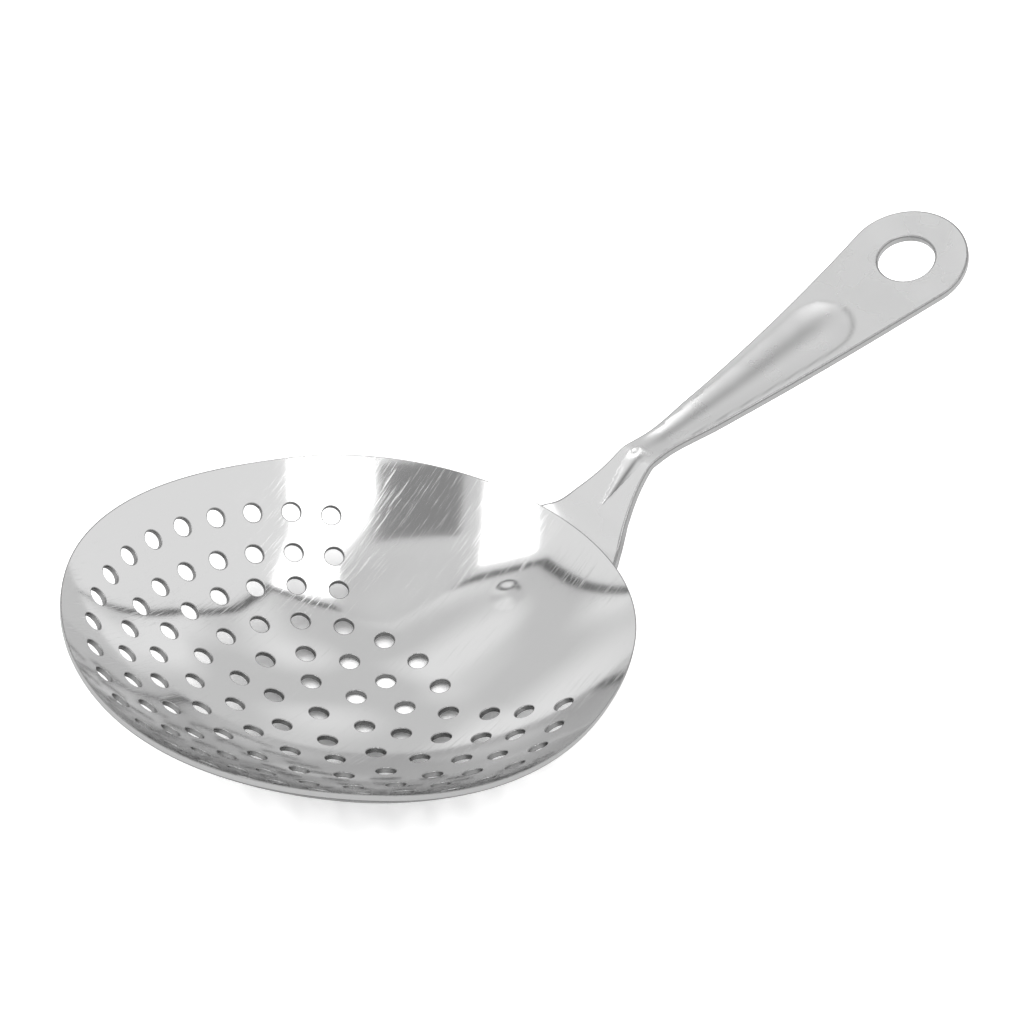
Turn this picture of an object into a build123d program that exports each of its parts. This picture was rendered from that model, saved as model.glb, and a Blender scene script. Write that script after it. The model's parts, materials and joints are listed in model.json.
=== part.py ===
from build123d import *
import math
import os

# Julep strainer in stainless steel sheet: a perforated dish, a pressed handle whose tang
# laps the outside of the dish, and the one resistance spot weld that joins them.
#
# Lengths are in millimetres. The pieces are drawn in the dish's own frame: the axis of the hole
# pattern is +Z, the handle points along +X, and the inside of the dish starts one sheet
# thickness above the origin. At the end they are set down as the strainer stands on a worktop,
# on the dish and the hidden end of the tang, with the origin at the middle of the underside.

# ---------------------------------------------------------------- driving dimensions
bowl_sheet = 0.9            # thickness of the dish
rim_radius = 41.5           # plan radius of the rim, away from the handle
lip_reach = 8.3             # how much further the rim goes out under the handle
lip_power = 6.7             # how quickly that lip fades round the rim
dish_radius = 64.2          # radius of curvature of the inside, at the bottom
wall_lift = 3.1             # extra height of the inside at rim_radius, as the wall steepens
relief_start = 21.0         # distance from the axis where the wall starts to ease off
lip_relief = 8.0            # how much lower that leaves the rim under the handle
back_relief = 2.1           # and on the far side

hole_diameter = 3.0
ring_radii = (7.4, 13.2, 19.4, 25.4, 30.4, 36.0)
holes_per_step = 6          # the first ring has six holes, the second twelve, and so on
plain_from_ring = 4         # from this ring outwards the tang's side is left plain
plain_half_angle = 44.0     # degrees each side of the handle

handle_sheet = 1.4          # thickness of the handle
lap_gap = 0.05              # between the dish and the tang
tang_lap = 23.1             # how far the tang's hidden end runs in under the rim
tang_shoulder = 11.8        # how far in under the rim it is widest
tang_half_width = 12.5
rim_half_width = 8.6        # half width of the tang where it comes out under the rim
flare_angle = 53.9          # slope of the stretch from the rim up to the neck, degrees
flare_blend = 3.4           # length over which the lap turns into the flare
neck_reach = 9.1            # from the rim out to where the flare's slope crosses the blade's
neck_half_width = 2.6
bend_softness = 0.35        # a larger value gives the neck bend a larger radius
blade_angle = 16.0          # slope of the long blade where it leaves the neck, degrees
blade_bow = 250.0           # radius of the blade's slight upward curve
blade_taper = 1.25          # 1 makes the blade's edges straight, more makes them hollow
blade_length = 53.7         # from there to the centre of the rounded end and its hanging hole
end_radius = 9.9            # radius of that end
end_turn = 10.0             # how far the round end runs past its widest point, degrees
hang_hole_diameter = 9.2

trough_depth = 0.6          # pressed stiffening trough along the top of the blade
trough_share = 0.8          # of the blade's width at each place along it
trough_stop = 12.1          # from the hanging hole's centre back to the trough's round end
trough_start = 2.1          # from the neck to its pointed end

weld_inset = 13.4           # from the rim in to the centre of the spot weld
weld_diameter = 4.6
weld_penetration = 0.45     # into each sheet
dimple_radius = 5.0         # round nose of the welding electrode
dimple_depth = 0.28         # mark that it leaves inside the dish

margin = 2.0                # how far the untrimmed faces run past their outlines
reach = 200.0               # long enough to cut through anything here
slope_step = 0.01           # for the slope of a formula surface


# ---------------------------------------------------------------- surfaces as formulas
def rim_reach(angle):
    """Plan distance from the axis to the rim, at an angle from the handle."""
    return rim_radius + lip_reach * ((1 + math.cos(angle)) / 2) ** lip_power


lip_x = rim_reach(0)
back_x = rim_reach(math.pi)
tang_end_x = lip_x - tang_lap
tang_shoulder_x = lip_x - tang_shoulder
weld_x = lip_x - weld_inset
neck_x = lip_x + neck_reach
end_x = neck_x + blade_length
trough_end_x = end_x - trough_stop
trough_tip_x = neck_x + trough_start


def inside_height(x, y):
    """Height of the inside of the dish."""
    out = math.hypot(x, y)
    height = bowl_sheet + out**2 / (2 * dish_radius) + wall_lift * (out / rim_radius) ** 4
    toward_handle = max(0, x - relief_start) / (lip_x - relief_start)
    away = max(0, -x - relief_start) / (back_x - relief_start)
    return height - lip_relief * toward_handle**2 - back_relief * away**2


def slopes(height, x, y):
    """Slope of a formula surface along X and along Y."""
    along = (height(x + slope_step, y) - height(x - slope_step, y)) / (2 * slope_step)
    across = (height(x, y + slope_step) - height(x, y - slope_step)) / (2 * slope_step)
    return along, across


def under(height, x, y, depth):
    """Height of a surface that lies a depth below another, measured square to it."""
    along, across = slopes(height, x, y)
    return height(x, y) - depth * math.sqrt(1 + along**2 + across**2)


def surface_plane(height, x, y):
    """A plane lying on a formula surface, facing out of its upper side."""
    along, across = slopes(height, x, y)
    return Plane(
        origin=(x, y, height(x, y)), x_dir=(1, 0, along), z_dir=(-along, -across, 1)
    )


def outside_height(x, y):
    """Height of the outside of the dish."""
    return under(inside_height, x, y, bowl_sheet)


def lap_height(x, y):
    """Height of the tang's upper face, just clear of the outside of the dish."""
    return under(inside_height, x, y, bowl_sheet + lap_gap)


flare_slope = math.tan(math.radians(flare_angle))
blade_slope = math.tan(math.radians(blade_angle))
neck_z = lap_height(lip_x, 0) + flare_slope * neck_reach


def profile_height(x):
    """Side profile of the handle outside the rim: steep flare, neck bend, bowed blade."""
    flare = neck_z + flare_slope * (x - neck_x)
    blade = neck_z + blade_slope * (x - neck_x) + (x - neck_x) ** 2 / (2 * blade_bow)
    return (flare + blade) / 2 - math.hypot((flare - blade) / 2, bend_softness)


def handle_height(x, y):
    """Height of the handle's upper face, before the trough is pressed."""
    t = min(1, max(0, (x - lip_x) / flare_blend))
    outside = t * t * (3 - 2 * t)
    lap = lap_height(min(x, lip_x + flare_blend), y)
    return (1 - outside) * lap + outside * profile_height(x)


def grid_face(height, x_range, y_range, x_step, y_step):
    """A smooth face through points of a height formula on a regular grid."""
    x_count = round((x_range[1] - x_range[0]) / x_step)
    y_count = round((y_range[1] - y_range[0]) / y_step)
    rows = []
    for i in range(x_count + 1):
        x = x_range[0] + (x_range[1] - x_range[0]) * i / x_count
        ys = [y_range[0] + (y_range[1] - y_range[0]) * j / y_count for j in range(y_count + 1)]
        rows.append([Vector(x, y, height(x, y)) for y in ys])
    return Face.make_surface_from_array_of_points(rows)


# ---------------------------------------------------------------- outlines in plan
rim_points = 48
rim_angles = [2 * math.pi * k / rim_points for k in range(rim_points)]
with BuildSketch() as rim_outline:
    with BuildLine():
        Spline(
            *[(rim_reach(a) * math.cos(a), rim_reach(a) * math.sin(a)) for a in rim_angles],
            periodic=True,
        )
    make_face()


def blade_half_width(x):
    """Half width of the blade, from the neck to the rounded end."""
    share = max(0, (x - neck_x) / blade_length)
    return neck_half_width + (end_radius - neck_half_width) * share**blade_taper


# The end is round in the blade's own slope, so in plan it is a little shorter than it is wide.
end_slope = blade_slope + blade_length / blade_bow
end_plan = end_radius * math.cos(math.atan(end_slope))
end_tilt = math.radians(end_turn)
end_corner = (end_x - end_plan * math.sin(end_tilt), end_radius * math.cos(end_tilt))
end_tangent = (-1, -end_radius / end_plan * math.tan(end_tilt))
blade_stations = [
    (neck_x + share * blade_length, blade_half_width(neck_x + share * blade_length))
    for share in (0.75, 0.5, 0.25, 0.06)
]
flare_stations = [
    (neck_x - 0.3 * neck_reach, neck_half_width + 1.35),
    (neck_x - 0.63 * neck_reach, neck_half_width + 3.1),
    (lip_x - 0.2, rim_half_width),
]
with BuildSketch() as handle_outline:
    with BuildLine():
        side = Spline(
            end_corner,
            *blade_stations,
            *flare_stations,
            (tang_shoulder_x, tang_half_width),
            tangents=[end_tangent, (-1, 0)],
        )
        mirror(side, about=Plane.XZ)
        ThreePointArc(
            (tang_shoulder_x, tang_half_width),
            (tang_end_x, 0),
            (tang_shoulder_x, -tang_half_width),
        )
        EllipticalCenterArc(
            (end_x, 0),
            end_plan,
            end_radius,
            start_angle=-90 - end_turn,
            arc_size=180 + 2 * end_turn,
        )
    make_face()


def trough_edge(x):
    """A point on the trough's edge."""
    return x, trough_share * blade_half_width(x)


trough_shoulder_x = trough_end_x - trough_share * blade_half_width(trough_end_x)
trough_run = trough_shoulder_x - trough_tip_x
with BuildSketch() as trough_outline:
    with BuildLine():
        trough_side = Spline(
            (trough_tip_x, 0),
            *[trough_edge(trough_tip_x + share * trough_run) for share in (0.2, 0.5, 0.8)],
            trough_edge(trough_shoulder_x),
        )
        mirror(trough_side, about=Plane.XZ)
        ThreePointArc(
            trough_edge(trough_shoulder_x),
            (trough_end_x, 0),
            (trough_shoulder_x, -trough_edge(trough_shoulder_x)[1]),
        )
    make_face()

# ---------------------------------------------------------------- spot weld
weld_top = surface_plane(inside_height, weld_x, 0).offset(weld_penetration - bowl_sheet)
with BuildPart() as spot_weld:
    with Locations(weld_top):
        Cylinder(
            weld_diameter / 2,
            2 * weld_penetration + lap_gap,
            align=(Align.CENTER, Align.CENTER, Align.MAX),
        )

# ---------------------------------------------------------------- perforated dish
hole_planes = [surface_plane(inside_height, 0, 0)]
for ring, radius in enumerate(ring_radii, start=1):
    count = ring * holes_per_step
    for k in range(count):
        turn = 360 * k / count
        if ring >= plain_from_ring and min(turn, 360 - turn) < plain_half_angle:
            continue
        x = radius * math.cos(math.radians(turn))
        y = radius * math.sin(math.radians(turn))
        hole_planes.append(surface_plane(inside_height, x, y))
print("holes in the dish:", len(hole_planes))

dish_face = grid_face(
    inside_height,
    (-back_x - margin, lip_x + margin),
    (-rim_radius - margin, rim_radius + margin),
    x_step=3.0,
    y_step=3.0,
)
electrode = surface_plane(inside_height, weld_x, 0).offset(dimple_radius - dimple_depth)
with BuildPart() as perforated_bowl:
    thicken(dish_face, amount=-bowl_sheet)
    extrude(rim_outline.sketch, amount=reach, both=True, mode=Mode.INTERSECT)
    with Locations(*hole_planes):
        Cylinder(hole_diameter / 2, 4 * bowl_sheet, mode=Mode.SUBTRACT)
    with Locations(electrode):
        Sphere(dimple_radius, mode=Mode.SUBTRACT)
    add(spot_weld.part, mode=Mode.SUBTRACT)

# ---------------------------------------------------------------- handle
handle_face = grid_face(
    handle_height,
    (tang_end_x - margin, end_x + end_radius + margin),
    (-tang_half_width - margin, tang_half_width + margin),
    x_step=1.5,
    y_step=3.0,
)
hang_plane = surface_plane(handle_height, end_x, 0)


def handle_layer(depth, outline):
    """The metal from the handle's upper face down to a depth, within an outline in plan."""
    with BuildPart() as layer:
        thicken(handle_face, amount=-depth)
        extrude(outline.sketch, amount=reach, both=True, mode=Mode.INTERSECT)
    return layer.part


with BuildPart() as handle:
    add(handle_layer(handle_sheet, handle_outline))
    add(handle_layer(handle_sheet + trough_depth, trough_outline))
    add(handle_layer(trough_depth, trough_outline), mode=Mode.SUBTRACT)
    with Locations(hang_plane):
        Cylinder(hang_hole_diameter / 2, 6 * handle_sheet, mode=Mode.SUBTRACT)
    add(spot_weld.part, mode=Mode.SUBTRACT)

# ---------------------------------------------------------------- set down on the worktop
# The dish rolls towards the handle until the lower corner of the tang's hidden end touches.
foot_z = under(lap_height, tang_end_x, 0, handle_sheet)
resting_slope = max(
    (foot_z - outside_height(x, 0)) / (tang_end_x - x) for x in range(int(tang_end_x) - 2)
)
tilt = Location((0, 0, 0), (0, math.degrees(math.atan(resting_slope)), 0))
pieces = {"perforated_bowl": perforated_bowl, "handle": handle, "spot_weld": spot_weld}
tilted_box = Compound([tilt * piece.part for piece in pieces.values()]).bounding_box()
middle = tilted_box.center()
set_down = Location((-middle.X, -middle.Y, -tilted_box.min.Z)) * tilt

os.makedirs("parts", exist_ok=True)
for name, piece in pieces.items():
    standing = set_down * piece.part
    standing.label = name
    export_step(standing, f"parts/{name}.step")

print("resting tilt, degrees:", round(math.degrees(math.atan(resting_slope)), 3))
for name, plane in (
    ("hanging hole, mid-wall", hang_plane.offset(-handle_sheet / 2)),
    ("dish, on its axis", Plane.XY),
):
    placed = set_down * plane.location
    axis = Plane(placed).z_dir
    print(name, [round(v, 3) for v in placed.position], [round(v, 5) for v in axis])
print("overall size:", tilted_box.size)
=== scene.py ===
# %% [markdown]
# # A julep strainer in Blender
#
# A julep strainer is two pressings of stainless steel sheet and one weld. The dish is thin sheet,
# punched with rings of holes and drawn into a shallow bowl with an egg-shaped rim. The handle is
# thicker sheet: a tang that laps the outside of the dish, a flared stretch up to a narrow neck,
# and a blade with a pressed trough and a hanging hole. A bar worker holds it in the mouth of a
# mixing glass, so that the ice stays back when the drink is poured.
#
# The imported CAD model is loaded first. It fixes every size and place, and this script gives it
# its looks.

# %% Load the frame
import json
import math
import bpy
import numpy as np
from mathutils import Matrix, Vector
from mathutils.geometry import delaunay_2d_cdt


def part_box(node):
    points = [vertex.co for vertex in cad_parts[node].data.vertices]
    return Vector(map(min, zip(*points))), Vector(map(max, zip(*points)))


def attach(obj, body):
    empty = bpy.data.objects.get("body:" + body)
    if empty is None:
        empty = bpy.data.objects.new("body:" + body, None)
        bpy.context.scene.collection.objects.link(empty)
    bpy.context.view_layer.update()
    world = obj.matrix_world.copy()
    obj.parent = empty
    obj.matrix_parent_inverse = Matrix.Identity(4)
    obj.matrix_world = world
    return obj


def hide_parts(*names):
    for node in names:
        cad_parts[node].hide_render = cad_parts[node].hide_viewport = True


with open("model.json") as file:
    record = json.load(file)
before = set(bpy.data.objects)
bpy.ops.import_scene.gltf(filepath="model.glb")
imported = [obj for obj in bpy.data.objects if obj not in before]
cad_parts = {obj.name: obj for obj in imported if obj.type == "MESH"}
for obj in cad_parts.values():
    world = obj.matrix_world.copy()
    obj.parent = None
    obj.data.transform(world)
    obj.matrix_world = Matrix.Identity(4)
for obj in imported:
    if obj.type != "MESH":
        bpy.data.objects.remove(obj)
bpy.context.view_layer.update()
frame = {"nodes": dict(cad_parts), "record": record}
mm = 0.001
print("nodes:", sorted(frame["nodes"]))

# %% [markdown]
# ## The camera
#
# The view is a product shot with a long lens, looking down from the dish's side, so that the
# handle runs off to the upper right. A long lens stands far back and keeps the rim's oval nearly
# undistorted.

# %% Camera
view_azimuth = math.radians(48.449)     # the way the camera looks, from +X towards +Y
view_elevation = math.radians(41.805)   # how far it looks down
view_roll = math.radians(1.385)         # lean of the camera about its own axis
view_distance = 922.5 * mm
aim = Vector((-5.01, 3.22, 17.55)) * mm

forward = Vector((
    math.cos(view_elevation) * math.cos(view_azimuth),
    math.cos(view_elevation) * math.sin(view_azimuth),
    -math.sin(view_elevation),
))
camera_data = bpy.data.cameras.new("product_camera")
camera_data.sensor_width = 36.0
camera_data.lens = 210.94
camera_data.clip_start = 0.01
camera = bpy.data.objects.new("product_camera", camera_data)
bpy.context.scene.collection.objects.link(camera)
camera.matrix_world = (
    Matrix.Translation(aim - forward * view_distance)
    @ forward.to_track_quat("-Z", "Y").to_matrix().to_4x4()
    @ Matrix.Rotation(view_roll, 4, "Z")
)
bpy.context.scene.camera = camera
print("camera at", [round(value, 3) for value in camera.location])

# %% [markdown]
# ## The dish's own frame
#
# The strainer stands on the worktop leaning towards its handle. The dish is much easier to
# describe upright, with the axis of its hole pattern as Z and the handle along X. The record
# gives that axis as the mount where the dish seats in a glass, so both pieces are drawn upright
# in millimetres and then leaned over with it.

# %% Where the dish stands
seat = next(mount for mount in frame["record"]["mounts"] if mount["name"] == "glass_seat")
lean = math.atan2(-seat["axis"][0], -seat["axis"][2])
dish_turn = np.array([
    [math.cos(lean), 0.0, math.sin(lean)],
    [0.0, 1.0, 0.0],
    [-math.sin(lean), 0.0, math.cos(lean)],
])
dish_origin = np.array(seat["pos_m"])
print("the dish leans", round(math.degrees(lean), 2), "degrees towards the handle")

# %% [markdown]
# ## The dish as a formula
#
# A drawn dish has no edges to model, only a smooth change of slope, so it is written as one
# height formula. A polished finish shows the smallest error in a surface, and a formula gives the
# exact slope everywhere, which no hand-moved mesh does.

# %% Sizes of the dish, in mm
bowl_sheet = 0.9
rim_radius = 41.5
lip_reach = 8.3
lip_power = 6.7
dish_radius = 64.2
wall_lift = 3.1
relief_start = 21.0
lip_relief = 8.0
back_relief = 2.1
lip_x = rim_radius + lip_reach
print("rim radius", rim_radius, "mm, out to", lip_x, "mm under the handle")


def rim_reach(angle):
    """Plan distance from the axis to the rim, at an angle from the handle."""
    return rim_radius + lip_reach * ((1 + np.cos(angle)) / 2) ** lip_power


def dish_height(x, y):
    """Height of the inside of the dish."""
    out = np.hypot(x, y)
    height = bowl_sheet + out**2 / (2 * dish_radius) + wall_lift * (out / rim_radius) ** 4
    toward_handle = np.maximum(0, x - relief_start) / (lip_x - relief_start)
    away = np.maximum(0, -x - relief_start) / (rim_radius - relief_start)
    return height - lip_relief * toward_handle**2 - back_relief * away**2


def slopes(height, x, y):
    """Slopes of a height formula along X and Y."""
    step = 0.005
    along = (height(x + step, y) - height(x - step, y)) / (2 * step)
    across = (height(x, y + step) - height(x, y - step)) / (2 * step)
    return along, across


def face_up(height, plan):
    """Points on a height formula above some plan points, with its unit normals there."""
    x, y = plan[:, 0], plan[:, 1]
    along, across = slopes(height, x, y)
    normals = np.column_stack([-along, -across, np.ones_like(x)])
    normals /= np.linalg.norm(normals, axis=1, keepdims=True)
    return np.column_stack([x, y, height(x, y)]), normals


# %% [markdown]
# ## The mark of the welding electrode
#
# A resistance spot weld is made by squeezing two sheets between copper electrodes and passing a
# current. The electrode's round nose leaves a shallow dimple inside the dish, above the hidden
# weld. It is one more term in the formula, because in a mirror finish even a dimple a seventh of a
# millimetre deep bends the reflections around it.

# %% The dimple
dimple_x = 36.4
dimple_reach = 3.0
dimple_depth = 0.14


def dish_inside(x, y):
    """The inside of the dish, with the electrode's mark."""
    share = ((x - dimple_x) ** 2 + y**2) / dimple_reach**2
    return dish_height(x, y) - dimple_depth * np.maximum(0, 1 - share) ** 2


print("dimple", round(2 * dimple_reach, 1), "mm across")

# %% [markdown]
# ## A sheet with holes and broken edges
#
# Both pieces are sheet metal, so the next functions make them both. They take an outline, the
# holes and a formula for each side. The plan is filled with triangles (a constrained Delaunay
# triangulation keeps every hole truly round), lifted to both faces, and each edge is closed with a
# small round, because punched and tumbled edges always catch the light. A Boolean cut would leave
# long thin faces that show in a polished finish.
#
# First come the plan points: the edges, and a grid of points that keeps clear of them.

# %% Plan points
def inside_loop(points, loop):
    """Which points lie inside a closed loop."""
    result = np.zeros(len(points), dtype=bool)
    x, y = points[:, 0], points[:, 1]
    for (x1, y1), (x2, y2) in zip(loop, np.roll(loop, -1, axis=0)):
        if y1 != y2:
            result ^= ((y1 > y) != (y2 > y)) & (x < x1 + (y - y1) / (y2 - y1) * (x2 - x1))
    return result


def into_sheet(loop, toward_material):
    """Unit plan directions from a loop's points into the sheet."""
    tangent = np.roll(loop, -1, axis=0) - np.roll(loop, 1, axis=0)
    inward = np.column_stack([-tangent[:, 1], tangent[:, 0]]) * toward_material
    return inward / np.linalg.norm(inward, axis=1, keepdims=True)


def grid_points(loops, spacing):
    """A hexagonal grid of plan points inside the first loop and clear of every loop."""
    low, high = loops[0].min(axis=0), loops[0].max(axis=0)
    rows = []
    for k, y in enumerate(np.arange(low[1], high[1], spacing * math.sqrt(3) / 2)):
        x = np.arange(low[0] + (k % 2) * spacing / 2, high[0], spacing)
        rows.append(np.column_stack([x, np.full_like(x, y)]))
    points = np.concatenate(rows)
    points = points[inside_loop(points, loops[0])]
    clear = spacing * 0.55
    for index, loop in enumerate(loops):
        near = ((points > loop.min(axis=0) - clear) & (points < loop.max(axis=0) + clear)).all(axis=1)
        nearby = points[near]
        gap = np.sqrt(((nearby[:, None] - loop[None]) ** 2).sum(axis=2)).min(axis=1)
        blocked = gap < clear
        if index > 0:
            blocked |= inside_loop(nearby, loop)
        near[near] = blocked
        points = points[~near]
    return points


print("a test square holds", len(grid_points([np.array([[0, 0], [9, 0], [9, 9], [0, 9.0]])], 1)), "points")

# %% [markdown]
# Then the triangles, without the ones that bridge a hole or a hollow in the outline.

# %% Triangles
def fill_plan(loops, grid):
    """Plan points and triangles of a sheet, and where each loop's points ended up."""
    plan = np.concatenate(loops + [grid])
    owner = np.repeat(range(len(loops) + 1), [len(loop) for loop in loops] + [len(grid)])
    edges, first, starts = [], 0, []
    for loop in loops:
        count = len(loop)
        starts.append(first)
        edges += [(first + i, first + (i + 1) % count) for i in range(count)]
        first += count
    done = delaunay_2d_cdt([Vector(point) for point in plan], edges, [], 0, 1e-7)
    points = np.array([point[:] for point in done[0]])
    source = np.array([ids[0] for ids in done[3]])
    triangles = np.array(done[2])
    corners = owner[source][triangles]
    one_loop = (corners == corners[:, :1]).all(axis=1)
    outside = one_loop & (corners[:, 0] == 0)
    middles = points[triangles[outside]].mean(axis=1)
    outside[outside] = ~inside_loop(middles, loops[0])
    in_hole = one_loop & (corners[:, 0] > 0) & (corners[:, 0] < len(loops))
    place = np.full(len(plan), -1)
    place[source] = np.arange(len(source))
    rings = [place[start + np.arange(len(loop))] for start, loop in zip(starts, loops)]
    return points, triangles[~outside & ~in_hole], rings


# %% [markdown]
# And last the mesh: both faces, the rounded edges, and exact normals from the formulas, which
# Blender then shades with instead of averaging its own.

# %% Sheet mesh
edge_turns = 4                              # steps round each broken edge


def edge_rings(corner, normal, outward, along_wall, wall_normal, radius):
    """Rings of points and normals that round one corner, from the face to the wall."""
    rings = []
    for k in range(1, edge_turns + 1):
        angle = math.pi / 2 * k / edge_turns
        point = (
            corner
            - outward * radius * (1 - math.sin(angle))
            + along_wall * radius * (1 - math.cos(angle))
        )
        rings.append((point, normal * math.cos(angle) + wall_normal * math.sin(angle)))
    return rings


def unit(vectors):
    return vectors / np.linalg.norm(vectors, axis=1, keepdims=True)


def sheet_piece(name, loops, extra, top, under, spacing, edge_radius, hole_walls):
    """A closed sheet of metal between two faces. Everything is in mm, in the dish's own frame.

    The corners take the second material, and so do the hole walls if hole_walls is 1.
    """
    inward = [into_sheet(loop, 1 if k == 0 else -1) for k, loop in enumerate(loops)]
    inset = [loop + direction * edge_radius for loop, direction in zip(loops, inward)]
    grid = grid_points(inset, spacing)
    if len(extra):
        gap = np.sqrt(((grid[:, None] - extra[None]) ** 2).sum(axis=2)).min(axis=1)
        grid = np.concatenate([grid[gap > spacing * 0.4], extra])
    plan, triangles, face_rings = fill_plan(inset, grid)
    (top_points, top_normals), (under_points, under_normals) = top(plan), under(plan)
    points, normals = [top_points, under_points], [top_normals, under_normals]
    faces = [tuple(triangle) for triangle in triangles]
    faces += [tuple(triangle[::-1] + len(plan)) for triangle in triangles]
    finish = [0] * len(faces)
    total = 2 * len(plan)
    for index, (loop, direction, ring) in enumerate(zip(loops, inward, face_rings)):
        (upper, n_upper), (lower, n_lower) = top(loop), under(loop)
        out_upper = unit(top(loop - direction * 0.01)[0] - upper)
        out_lower = unit(under(loop - direction * 0.01)[0] - lower)
        down = unit(lower - upper)
        wall = unit(out_upper - (out_upper * down).sum(axis=1, keepdims=True) * down)
        above = edge_rings(upper, n_upper, out_upper, down, wall, edge_radius)
        below = edge_rings(lower, n_lower, out_lower, -down, wall, edge_radius)
        chain = [ring]
        for ring_points, ring_normals in above + below[::-1]:
            points.append(ring_points)
            normals.append(ring_normals)
            chain.append(total + np.arange(len(loop)))
            total += len(loop)
        chain.append(ring + len(plan))
        for strip, (one, two) in enumerate(zip(chain[:-1], chain[1:])):
            quads = np.column_stack([one, two, np.roll(two, -1), np.roll(one, -1)])
            faces += [tuple(quad) if index == 0 else tuple(quad[::-1]) for quad in quads]
            on_corner = strip != edge_turns
            finish += [1 if on_corner else hole_walls * (index > 0)] * len(quads)
    points = np.concatenate(points) * mm @ dish_turn.T + dish_origin
    normals = unit(np.concatenate(normals) @ dish_turn.T)
    mesh = bpy.data.meshes.new(name)
    mesh.from_pydata(points.tolist(), [], [[int(corner) for corner in face] for face in faces])
    mesh.polygons.foreach_set("material_index", finish)
    mesh.shade_smooth()
    mesh.normals_split_custom_set_from_vertices(normals.tolist())
    piece = bpy.data.objects.new(name, mesh)
    bpy.context.scene.collection.objects.link(piece)
    print(name, len(mesh.vertices), "vertices,", len(mesh.polygons), "faces")
    return piece


# %% [markdown]
# ## The punched holes
#
# The holes sit on six rings round a centre hole: six in the first ring, twelve in the second and
# so on. The three outer rings are left plain on the handle's side, where the tang backs the sheet.
# Each hole is punched square to the sheet, so in plan it is a little shorter down the slope.

# %% Hole places
hole_radius = 1.5
ring_radii = (7.4, 13.2, 19.4, 25.4, 30.4, 36.0)
plain_from_ring = 4
plain_half_angle = 44.0                     # degrees each side of the handle

hole_centres = [(0.0, 0.0)]
for ring, radius in enumerate(ring_radii, start=1):
    for k in range(6 * ring):
        angle = 60 * k / ring
        if ring < plain_from_ring or min(angle, 360 - angle) >= plain_half_angle:
            turned = math.radians(angle)
            hole_centres.append((radius * math.cos(turned), radius * math.sin(turned)))
print("holes:", len(hole_centres))


def square_hole(height, centre, radius, sides):
    """The plan loop of a round hole that is square to the surface it is in."""
    turn = 2 * np.pi * np.arange(sides) / sides
    ring = radius * np.column_stack([np.cos(turn), np.sin(turn)])
    normal = face_up(height, np.array([centre]))[1][0]
    steepness = math.hypot(normal[0], normal[1])
    if steepness > 1e-6:
        downhill = normal[:2] / steepness
        ring += np.outer(ring @ downhill * (normal[2] - 1), downhill)
    return ring + np.array(centre)


# %% [markdown]
# ## The dish
#
# The rim is trimmed straight up and down after drawing, and the holes go square through the
# sheet. So the outside is the inside moved out along its normals, except near the rim, where it
# turns to straight down.

# %% Dish
def dish_top(plan):
    return face_up(dish_inside, plan)


def dish_under(plan):
    points, normals = face_up(dish_height, plan)
    angle = np.arctan2(plan[:, 1], plan[:, 0])
    from_rim = rim_reach(angle) - np.hypot(plan[:, 0], plan[:, 1])
    share = np.clip(from_rim / 4, 0, 1)[:, None]
    share = share * share * (3 - 2 * share)
    straight_down = np.column_stack([0 * angle, 0 * angle, 1 / normals[:, 2]])
    return points - bowl_sheet * (share * normals + (1 - share) * straight_down), -normals


turn = 2 * np.pi * np.arange(320) / 320
rim_loop = np.column_stack([np.cos(turn), np.sin(turn)]) * rim_reach(turn)[:, None]
dimple_step = 0.2                           # the dimple needs finer triangles than the dish
dimple_steps = round(dimple_reach / dimple_step) + 2
dimple_grid = np.array([
    (dimple_x + dimple_step * i, dimple_step * j)
    for i in range(-dimple_steps, dimple_steps + 1) for j in range(-dimple_steps, dimple_steps + 1)
    if math.hypot(i, j) * dimple_step < dimple_reach + 0.3
])
dish = sheet_piece(
    "drawn_dish",
    [rim_loop] + [square_hole(dish_height, centre, hole_radius, 32) for centre in hole_centres],
    dimple_grid, dish_top, dish_under, spacing=1.1, edge_radius=0.17, hole_walls=1,
)
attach(dish, "root")
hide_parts("perforated_bowl")

# %% [markdown]
# ## The handle's side profile
#
# The handle is one strip of thicker sheet, pressed to shape. Seen from the side it follows the
# outside of the dish, turns up steeply at the rim, bends over at the neck and runs on with a slight
# upward bow to the end. The bends are smooth blends between the stretches.

# %% Handle heights
handle_sheet = 1.4
lap_gap = 0.05
flare_slope = math.tan(math.radians(53.9))
blade_slope = math.tan(math.radians(16.0))  # where it leaves the neck
blade_bow = 250.0                           # radius of its slight upward curve
flare_blend = 3.4
bend_softness = 0.35
neck_x = 58.9
end_x = 112.6


def lap_height(x, y):
    """Top of the tang: just clear of the outside of the dish."""
    along, across = slopes(dish_height, x, y)
    return dish_height(x, y) - (bowl_sheet + lap_gap) * np.sqrt(1 + along**2 + across**2)


neck_z = float(lap_height(np.array(lip_x), np.array(0.0))) + flare_slope * (neck_x - lip_x)


def handle_plain(x, y):
    """Top of the handle before the trough is pressed."""
    flare = neck_z + flare_slope * (x - neck_x)
    blade = neck_z + blade_slope * (x - neck_x) + (x - neck_x) ** 2 / (2 * blade_bow)
    profile = (flare + blade) / 2 - np.hypot((flare - blade) / 2, bend_softness)
    t = np.clip((x - lip_x) / flare_blend, 0, 1)
    outside = t * t * (3 - 2 * t)
    return (1 - outside) * lap_height(np.minimum(x, lip_x + flare_blend), y) + outside * profile


print("neck at x", neck_x, "and z", round(neck_z, 1), "mm")

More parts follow.
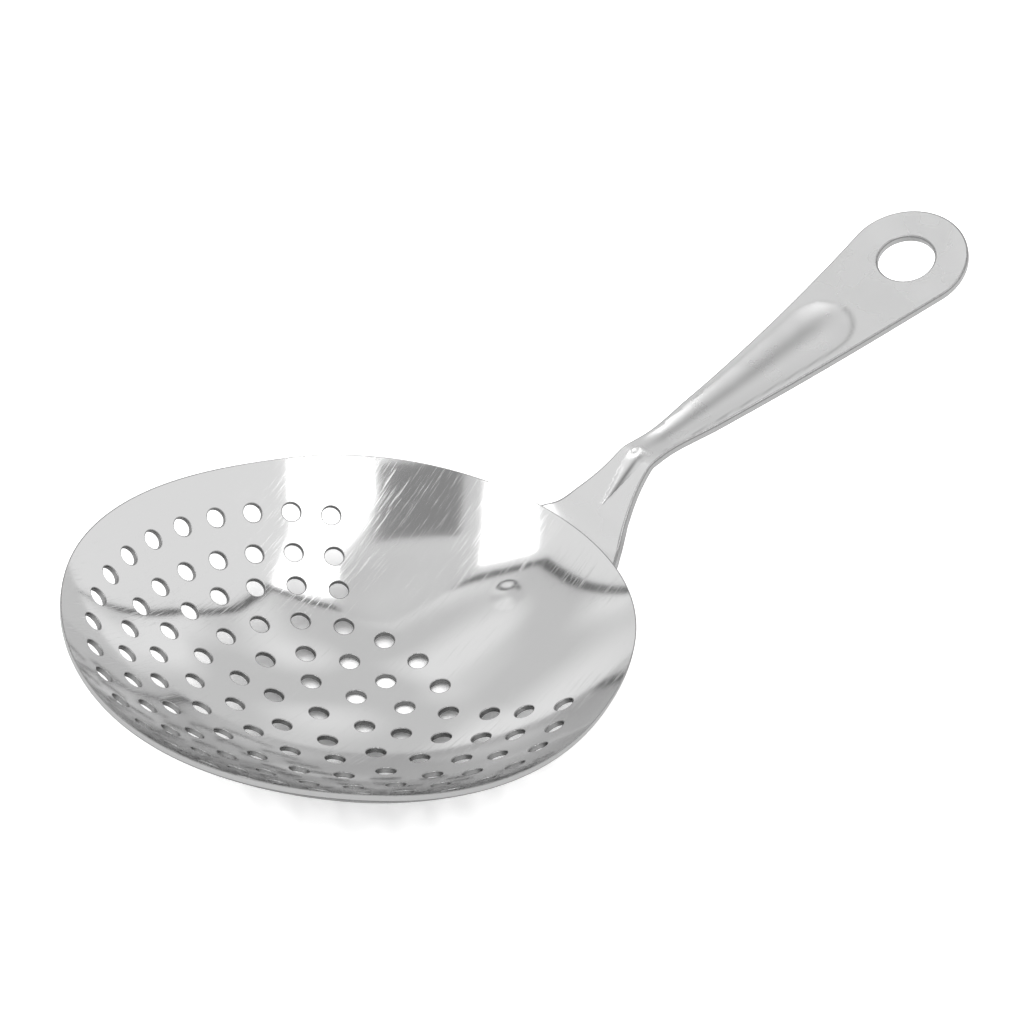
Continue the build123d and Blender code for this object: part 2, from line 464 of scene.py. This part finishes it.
# %% [markdown]
# ## The pressed trough
#
# A flat strip this thin would bend in use. A shallow rounded trough along the blade stiffens it,
# as a gutter is stiffer than a flat sheet. It has a round end near the hanging hole, and at the
# neck it runs out over the bend in a small pointed dart, where the press had to fold the most
# metal. The back bulges by the same amount, but softer, because the sheet's thickness rounds it.

# %% Trough
end_radius = 9.9
neck_half_width = 2.6
trough_depth = 0.6
trough_end_x = 100.5
trough_round = 6.5                          # length of its round end
trough_share = 0.8                          # of the blade's width at each place along it
blade_taper = 1.25                          # more than 1 makes the blade's edges hollow
face_softness, back_softness = 1.15, 2.0    # how far the trough's edges are rounded over
dart_tip_x = 52.8
dart_end_x = 60.6
dart_half_width = 1.5
dart_depth = 0.75


def blade_half_width(x):
    share = np.clip((x - neck_x) / (end_x - neck_x), 0, 1)
    return neck_half_width + (end_radius - neck_half_width) * share**blade_taper


def trough(x, y, softness):
    """Depth of the trough and its dart. A larger softness rounds the edges over more."""
    into_end = np.clip((x - trough_end_x + trough_round) / trough_round, 0, 1)
    from_neck = np.clip((x - neck_x) / 6, 0, 1)
    across = y / (trough_share * blade_half_width(x))
    depth = trough_depth * from_neck * np.clip(1 - across**2 - into_end**2, 0, 1) ** softness
    along = np.clip((x - dart_tip_x) / (dart_end_x - dart_tip_x), 0, 1)
    dart_half = dart_half_width * np.clip(along * 1.6, 0, 1) + 1e-6
    dart = np.clip(1 - (y / dart_half) ** 2, 0, 1) ** softness * np.sin(np.pi * along) ** 0.8
    return depth + dart_depth * dart


def handle_face(x, y):
    return handle_plain(x, y) - trough(x, y, face_softness)


def handle_back(x, y):
    return handle_plain(x, y) - trough(x, y, back_softness)


print("trough", trough_end_x - neck_x, "mm long in plan")

# %% [markdown]
# ## The handle's outline
#
# The outline is blanked from flat sheet before pressing. One side is a smooth curve through a few
# widths: hollow along the blade, narrow at the neck and flaring out under the rim. Both ends are
# round. The curve is a Catmull-Rom spline, which passes through every point it is given.

# %% Outline curve
def smooth_curve(points, start_way, end_way, steps):
    """A curve through some points, leaving and arriving in given directions."""
    points = np.array(points, dtype=float)
    gaps = np.linalg.norm(np.diff(points, axis=0), axis=1)
    ways = np.diff(points, axis=0) / gaps[:, None]
    middle = (ways[:-1] * gaps[1:, None] + ways[1:] * gaps[:-1, None]) / (gaps[1:] + gaps[:-1])[:, None]
    tangents = np.vstack([unit(np.array([start_way]))[0], middle, unit(np.array([end_way]))[0]])
    curve = []
    for k, gap in enumerate(gaps):
        t = (np.arange(steps) / steps)[:, None]
        curve.append(
            (2 * t**3 - 3 * t**2 + 1) * points[k] + (t**3 - 2 * t**2 + t) * gap * tangents[k]
            + (3 * t**2 - 2 * t**3) * points[k + 1] + (t**3 - t**2) * gap * tangents[k + 1]
        )
    return np.concatenate(curve + [points[-1:]])


def arc(centre, radii, start, end, count):
    angles = np.radians(np.linspace(start, end, count))
    return np.array(centre) + np.column_stack([np.cos(angles), np.sin(angles)]) * np.array(radii)


# %% Handle outline
tang_end_x, tang_shoulder_x, tang_half_width, rim_half_width = 26.7, 38.0, 12.5, 8.6
end_plan = end_radius * math.cos(math.atan(blade_slope + (end_x - neck_x) / blade_bow))
end_turn = 10.0                             # how far the round end runs past its widest point
end_arc = arc((end_x, 0), (end_plan, end_radius), -90 - end_turn, 90 + end_turn, 90)
tang_round = ((tang_shoulder_x - tang_end_x) ** 2 + tang_half_width**2) / (
    2 * (tang_shoulder_x - tang_end_x))
tang_centre = (tang_end_x + tang_round, 0)
shoulder_turn = math.degrees(math.atan2(tang_half_width, tang_shoulder_x - tang_centre[0]))
tang_arc = arc(tang_centre, (tang_round, tang_round), shoulder_turn, 360 - shoulder_turn, 60)
blade_length, flare_length = end_x - neck_x, neck_x - lip_x
widths = [(neck_x + share * blade_length, float(blade_half_width(neck_x + share * blade_length)))
          for share in (0.75, 0.5, 0.25, 0.06)]
widths += [
    (neck_x - 0.3 * flare_length, neck_half_width + 1.35),
    (neck_x - 0.63 * flare_length, neck_half_width + 3.1),
    (lip_x - 0.2, rim_half_width),
    (tang_shoulder_x, tang_half_width),
]
tilt = math.radians(end_turn)
side = smooth_curve(
    [end_arc[-1]] + widths, (-1, -end_radius / end_plan * math.tan(tilt)), (-1, 0), 24)
other_side = (side * (1, -1))[::-1]
handle_loop = np.concatenate([end_arc[:-1], side[:-1], tang_arc[:-1], other_side[:-1]])
print("handle outline", len(handle_loop), "points")

# %% [markdown]
# ## The handle
#
# The same sheet functions make the handle, with the hanging hole as its one hole. Its triangles are
# small, because the trough and the dart need them.

# %% Handle
hang_hole = next(mount for mount in frame["record"]["mounts"] if mount["name"] == "hang_hole")


def handle_top(plan):
    return face_up(handle_face, plan)


def handle_under(plan):
    points, normals = face_up(handle_back, plan)
    return points - handle_sheet * face_up(handle_plain, plan)[1], -normals


dart_step = 0.24                            # the dart needs finer triangles than the blade
dart_grid = np.array([
    (dart_tip_x - 0.6 + dart_step * i, dart_step * j) for i in range(40) for j in range(-8, 9)
])
handle = sheet_piece(
    "pressed_handle",
    [handle_loop, square_hole(handle_plain, (end_x, 0.0), hang_hole["dims"]["r_mm"], 72)],
    dart_grid, handle_top, handle_under, spacing=0.5, edge_radius=0.28, hole_walls=0,
)
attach(handle, "root")
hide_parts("handle")

# %% [markdown]
# ## Painted shade on the trough
#
# The press drew the metal over the edge of the trough and down into the dart. The shade in these
# places is painted into the handle's colour as darker steel: a painted dark line round the trough,
# stronger on one side, a soft band of painted shade down the side, and painted shade on the floor
# of the dart. Each vertex keeps how much painted shade it takes, so that the finish can use it.

# %% Painted trough shade
def painted_trough_shade(x, y):
    """How much painted shade the handle takes at some plan points, from 0 to 1."""
    into_end = np.clip((x - trough_end_x + trough_round) / trough_round, 0, 2)
    from_neck = np.clip((x - neck_x - 1) / 5, 0, 1)
    across = y / (trough_share * blade_half_width(x))
    out = np.hypot(across, into_end)
    line = np.exp(-(((out - 0.97) / 0.06) ** 2)) * np.where(y < 0, 0.45, 0.12)
    band = np.exp(-(((across - 0.25) / 0.32) ** 2)) * 0.5 * np.clip(1.3 * (1 - out), 0, 1) ** 0.5
    along = np.clip((x - dart_tip_x - 1.5) / (dart_end_x - dart_tip_x - 2), 0, 1)
    floor_of_dart = np.exp(-(((y + 0.25) / 0.42) ** 2)) * np.sin(np.pi * along) ** 0.6
    return np.clip(from_neck * (line + band) + floor_of_dart, 0, 1)


own_frame = (np.array([v.co[:] for v in handle.data.vertices]) - dish_origin) / mm @ dish_turn
painted_shade_amounts = painted_trough_shade(own_frame[:, 0], own_frame[:, 1])
handle.data.attributes.new("painted_trough_shade", "FLOAT", "POINT").data.foreach_set("value", painted_shade_amounts)
print("rubbed vertices:", int((painted_shade_amounts > 0.3).sum()), "of", len(painted_shade_amounts))

# %% [markdown]
# ## Colours and nodes
#
# Colours are picked as sRGB hex values, as a paint chart gives them, and turned to the linear
# values that the renderer works in. One helper adds a node with its settings and links.

# %% Colour and node helpers
def from_hex(code):
    """Linear colour from an sRGB hex value."""
    values = [int(code[i:i + 2], 16) / 255 for i in (1, 3, 5)]
    linear = [v / 12.92 if v <= 0.04045 else ((v + 0.055) / 1.055) ** 2.4 for v in values]
    return (*linear, 1.0)


def add_node(tree, kind, inputs, **settings):
    """Add a node. Each input is a plain value, or the output of another node."""
    node = tree.nodes.new(kind)
    for name, value in settings.items():
        setattr(node, name, value)
    for name, value in inputs.items():
        if isinstance(value, bpy.types.NodeSocket):
            tree.links.new(value, node.inputs[name])
        else:
            node.inputs[name].default_value = value
    return node


def new_steel(name, colour, roughness):
    """A metal with its constant values set, and the tree to add the finish to."""
    material = bpy.data.materials.new(name)
    material.use_nodes = True
    shader = material.node_tree.nodes["Principled BSDF"]
    shader.inputs["Metallic"].default_value = 1.0
    shader.inputs["Base Color"].default_value = from_hex(colour)
    shader.inputs["Roughness"].default_value = roughness
    return material, material.node_tree, shader


print("mid grey is", round(from_hex("#808080")[0], 3), "in linear light")

# %% [markdown]
# ## Polished stainless steel
#
# The dish is 18/8 stainless steel, drawn and then buffed on a wheel. Buffing leaves a near mirror
# with fine parallel scratches, all in the direction in which the wheel ran. The eye sees them as a
# silky streak wherever something dark is reflected. Real scratches are a few hundredths of a
# millimetre wide, too fine to show here, so they are drawn about ten times coarser.
#
# A stretched noise makes them: long along the wheel's path and fine across it. It is used twice,
# as a faint even grain and, cut off high, as the few scratches that stand out.

# %% Polished dish
def streaks(tree, direction, length, width, detail):
    """Noise stretched along a direction in plan, in degrees. Length and width are in mm."""
    place = add_node(tree, "ShaderNodeTexCoord", {})
    turned = add_node(tree, "ShaderNodeMapping", {
        "Vector": place.outputs["Object"],
        "Rotation": (0, 0, -math.radians(direction)),
    })
    stretched = add_node(tree, "ShaderNodeMapping", {
        "Vector": turned.outputs["Vector"],
        "Scale": (1 / (length * mm), 1 / (width * mm), 1 / (length * mm)),
    })
    noise = add_node(tree, "ShaderNodeTexNoise", {
        "Vector": stretched.outputs["Vector"], "Scale": 1.0, "Detail": detail,
    })
    return noise.outputs["Fac"]


polished, tree, shader = new_steel("buffed_stainless_steel", "#D0D0D0", 0.1)
grain = streaks(tree, 15, 8, 0.14, 2.0)
scratches = add_node(tree, "ShaderNodeMapRange", {
    "Value": streaks(tree, 15, 6, 0.16, 2.0), "From Min": 0.56, "From Max": 0.72,
})
rough = add_node(tree, "ShaderNodeMapRange", {
    "Value": scratches.outputs["Result"], "To Min": 0.085, "To Max": 0.24,
})
grain_bump = add_node(tree, "ShaderNodeBump", {"Height": grain, "Strength": 1.0, "Distance": 1e-6})
scratch_bump = add_node(tree, "ShaderNodeBump", {
    "Height": scratches.outputs["Result"], "Strength": 1.0, "Distance": 4e-7,
    "Normal": grain_bump.outputs["Normal"],
})
tree.links.new(rough.outputs["Result"], shader.inputs["Roughness"])
tree.links.new(scratch_bump.outputs["Normal"], shader.inputs["Normal"])
dish.data.materials.append(polished)
print(polished.name, len(tree.nodes), "nodes")

# %% [markdown]
# ## Tumbled stainless steel
#
# The handle is the same steel, but it was tumbled in a drum of ceramic chips to break its sharp
# edges. That leaves a finer, directionless frosting: reflections are soft, and slightly uneven
# where the sheet dented a little in pressing.

# %% Tumbled handle
satin, tree, shader = new_steel("tumbled_stainless_steel", "#CDCDCD", 0.3)
place = add_node(tree, "ShaderNodeTexCoord", {})
frosting = add_node(tree, "ShaderNodeTexNoise", {
    "Vector": place.outputs["Object"], "Scale": 1 / (0.3 * mm), "Detail": 2.0,
})
unevenness = add_node(tree, "ShaderNodeTexNoise", {
    "Vector": place.outputs["Object"], "Scale": 1 / (6 * mm), "Detail": 2.0,
})
rough = add_node(tree, "ShaderNodeMapRange", {
    "Value": unevenness.outputs["Fac"], "From Min": 0.3, "From Max": 0.7, "To Min": 0.24, "To Max": 0.33,
})
dents = add_node(tree, "ShaderNodeBump", {
    "Height": unevenness.outputs["Fac"], "Strength": 1.0, "Distance": 0.05 * mm,
})
frost = add_node(tree, "ShaderNodeBump", {
    "Height": frosting.outputs["Fac"], "Strength": 1.0, "Distance": 4e-6,
    "Normal": dents.outputs["Normal"],
})
# Painted shade: the steel's colour turns darker where the painted trough shade is, to draw the trough's
# shading.
painted_shade_attribute = add_node(tree, "ShaderNodeAttribute", {}, attribute_name="painted_trough_shade")
steel_with_painted_shade = add_node(tree, "ShaderNodeMix", {
    "Factor": painted_shade_attribute.outputs["Fac"],
    6: from_hex("#CDCDCD"),
    7: from_hex("#7C7C7C"),
}, data_type="RGBA")
tree.links.new(steel_with_painted_shade.outputs[2], shader.inputs["Base Color"])
tree.links.new(rough.outputs["Result"], shader.inputs["Roughness"])
tree.links.new(frost.outputs["Normal"], shader.inputs["Normal"])
handle.data.materials.append(satin)
print(satin.name, len(tree.nodes), "nodes")

# %% [markdown]
# ## Sheared stainless steel, with painted shade
#
# A punch leaves a duller, greyer surface than the mill's sheet, and neither the buffing wheel nor
# the tumbling chips reach into a corner or a small hole. So the broken corners of both pieces, and
# the walls of the drain holes, get a finish of their own. Its grey is made darker still, as painted
# shade: it draws a thin dark outline round the sheet and a dark crescent in each hole, which is how
# the eye reads the sheet's thickness.

# %% Sheared edges, with painted shade
# Painted shade: the dark #969696 grey draws the outline of the sheet and the crescents in the holes.
sheared_with_painted_shade, tree, shader = new_steel("sheared_stainless_steel_painted_shade", "#969696", 0.3)
tear = add_node(tree, "ShaderNodeTexNoise", {
    "Vector": add_node(tree, "ShaderNodeTexCoord", {}).outputs["Object"],
    "Scale": 1 / (0.5 * mm), "Detail": 2.0,
})
rough = add_node(tree, "ShaderNodeMapRange", {
    "Value": tear.outputs["Fac"], "From Min": 0.3, "From Max": 0.7, "To Min": 0.22, "To Max": 0.4,
})
tree.links.new(rough.outputs["Result"], shader.inputs["Roughness"])
dish.data.materials.append(sheared_with_painted_shade)
handle.data.materials.append(sheared_with_painted_shade)
print(sheared_with_painted_shade.name, len(tree.nodes), "nodes")

# %% [markdown]
# ## Fused stainless steel
#
# The weld is hidden between the sheets, so nothing of it shows. It still gets its own finish, the
# dull, slightly pitted grey of steel that has melted and set, for anyone who takes the piece apart.

# %% Weld
fused, tree, shader = new_steel("fused_stainless_steel", "#9E9C98", 0.5)
place = add_node(tree, "ShaderNodeTexCoord", {})
pits = add_node(tree, "ShaderNodeTexNoise", {
    "Vector": place.outputs["Object"], "Scale": 1 / (0.4 * mm), "Detail": 4.0,
})
pitted = add_node(tree, "ShaderNodeBump", {
    "Height": pits.outputs["Fac"], "Strength": 0.6, "Distance": 0.05 * mm,
})
tree.links.new(pitted.outputs["Normal"], shader.inputs["Normal"])
weld = frame["nodes"]["spot_weld"]
weld.data.materials.clear()
weld.data.materials.append(fused)
print(fused.name, len(tree.nodes), "nodes")

# %% [markdown]
# ## The studio
#
# Polished steel has no look of its own: it shows the room. So the studio is built as the dish sees
# it: a tall backdrop with a dark edge, two soft boxes overhead, and the dark hood of the camera
# stand between them. Each card is drawn on the sky above the dish, in degrees to the camera's
# right and in degrees away from the camera, both from straight overhead. The cards are large and
# far off, so their reflections are the same wherever the strainer stands.

# %% Cards
dish_middle = Vector([(low + high) / 2 for low, high in zip(*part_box("perforated_bowl"))])
away_way = Vector((forward.x, forward.y, 0)).normalized()
right_way = away_way.cross(Vector((0, 0, 1)))


def sky_point(right, away, distance):
    """A point in a direction from the dish."""
    lean_out = math.radians(math.hypot(right, away))
    level = (right_way * right + away_way * away).normalized() * math.sin(lean_out)
    return dish_middle + (level + Vector((0, 0, math.cos(lean_out)))) * distance


def card(name, corners, distance, brightness, unevenness=0.0):
    """A glowing card of the studio, hidden from the camera. Unevenness is a share of its light."""
    mesh = bpy.data.meshes.new(name)
    points = [sky_point(right, away, distance) for right, away in corners]
    mesh.from_pydata(points, [], [tuple(range(len(points)))])
    board = bpy.data.objects.new(name, mesh)
    bpy.context.scene.collection.objects.link(board)
    material = bpy.data.materials.new(name)
    material.use_nodes = True
    material.node_tree.nodes.clear()
    patches = add_node(material.node_tree, "ShaderNodeTexNoise", {
        "Vector": add_node(material.node_tree, "ShaderNodeTexCoord", {}).outputs["Object"],
        "Scale": 1 / 1.6, "Detail": 0.0,
    })
    light = add_node(material.node_tree, "ShaderNodeMapRange", {
        "Value": patches.outputs["Fac"], "From Min": 0.35, "From Max": 0.65,
        "To Min": brightness * (1 - unevenness), "To Max": brightness * (1 + unevenness),
    })
    glow = add_node(material.node_tree, "ShaderNodeEmission", {"Strength": light.outputs["Result"]})
    add_node(material.node_tree, "ShaderNodeOutputMaterial", {"Surface": glow.outputs[0]})
    mesh.materials.append(material)
    board.visible_camera = False
    return board


backdrop_corners = [
    (-53, 75), (-30, 39), (-21, 24), (-9, 22), (26, 19), (32, 31), (44, 43), (54, 63), (60, 69),
]
middle = Vector((5, 43))
edge_width = 2.4                            # of the backdrop's dark edge, in degrees
edge_corners = [
    Vector(corner) + (Vector(corner) - middle).normalized() * edge_width
    for corner in backdrop_corners
]
card("backdrop_edge", edge_corners, 8.0, 0.1)
card("backdrop", backdrop_corners, 6.4, 0.98, unevenness=0.16)
ceiling_corners = [(-9, 19), (-4, 24), (6, 23), (11, 19), (15, -18), (-4, -30)]
card("ceiling_panel", ceiling_corners, 6.0, 0.84, unevenness=0.1)
card("soft_box_right", [(10, 16), (26, 17), (24, -3), (28, -24), (15, -17), (11, 3)], 5.5, 4.0)
card("soft_box_left", [(-20, 19), (-9, 17), (-5, -8), (-4, -30), (-24, -30), (-18, 1)], 5.5, 4.0)
card("camera_hood", [(-3, 6), (9, 1.5), (17, -18), (1, -16)], 5.0, 0.36)
card("hood_slot", [(0, 2), (8, -2.5), (8.3, -3.8), (0.3, 0.6)], 4.9, 0.75)

# %% [markdown]
# ## The floor
#
# The strainer stands on plain white paper. Product shots burn the paper out to pure white while the
# steel still mirrors it as a light grey, and one exposure can't give both. So the paper is greyer
# where the steel sees it, and it glows a little for the camera. The glow fades where the strainer
# stands close over the paper, which keeps the soft shade that shows through the drain holes.

# %% Floor
half = 5.0
floor_mesh = bpy.data.meshes.new("floor")
floor_mesh.from_pydata(
    [(-half, -half, 0), (half, -half, 0), (half, half, 0), (-half, half, 0)], [], [(0, 1, 2, 3)])
floor = bpy.data.objects.new("floor", floor_mesh)
bpy.context.scene.collection.objects.link(floor)

paper = bpy.data.materials.new("white_paper")
paper.use_nodes = True
tree = paper.node_tree
shader = tree.nodes["Principled BSDF"]
sight = add_node(tree, "ShaderNodeLightPath", {})
shade = add_node(tree, "ShaderNodeAmbientOcclusion", {"Distance": 8 * mm}, samples=12)
colour = add_node(tree, "ShaderNodeMix", {
    "Factor": sight.outputs["Is Camera Ray"],
    6: from_hex("#CDCDCD"),
    7: from_hex("#FAFAFA"),
}, data_type="RGBA")
seen = add_node(tree, "ShaderNodeMath", {
    0: sight.outputs["Is Camera Ray"], 1: shade.outputs["AO"],
}, operation="MULTIPLY")
glow = add_node(tree, "ShaderNodeMath", {0: seen.outputs[0], 1: 0.5}, operation="MULTIPLY")
tree.links.new(colour.outputs[2], shader.inputs["Base Color"])
tree.links.new(glow.outputs[0], shader.inputs["Emission Strength"])
shader.inputs["Emission Color"].default_value = (1, 1, 1, 1)
shader.inputs["Roughness"].default_value = 0.9
shader.inputs["Specular IOR Level"].default_value = 0.0
floor_mesh.materials.append(paper)
print("floor", 2 * half, "m square,", len(tree.nodes), "nodes")

# %% [markdown]
# ## The room
#
# The rest of the room is plain white, and it gives the soft light that fills every side. The
# Standard view transform is used, because a filmic one would turn white paper to grey.

# %% Room
world = bpy.data.worlds.new("white_room")
bpy.context.scene.world = world
world.use_nodes = True
room_light = world.node_tree.nodes["Background"]
room_light.inputs["Color"].default_value = (1, 1, 1, 1)
room_light.inputs["Strength"].default_value = 1.1
bpy.context.scene.view_settings.view_transform = "Standard"
print("room light", round(room_light.inputs["Strength"].default_value, 2))
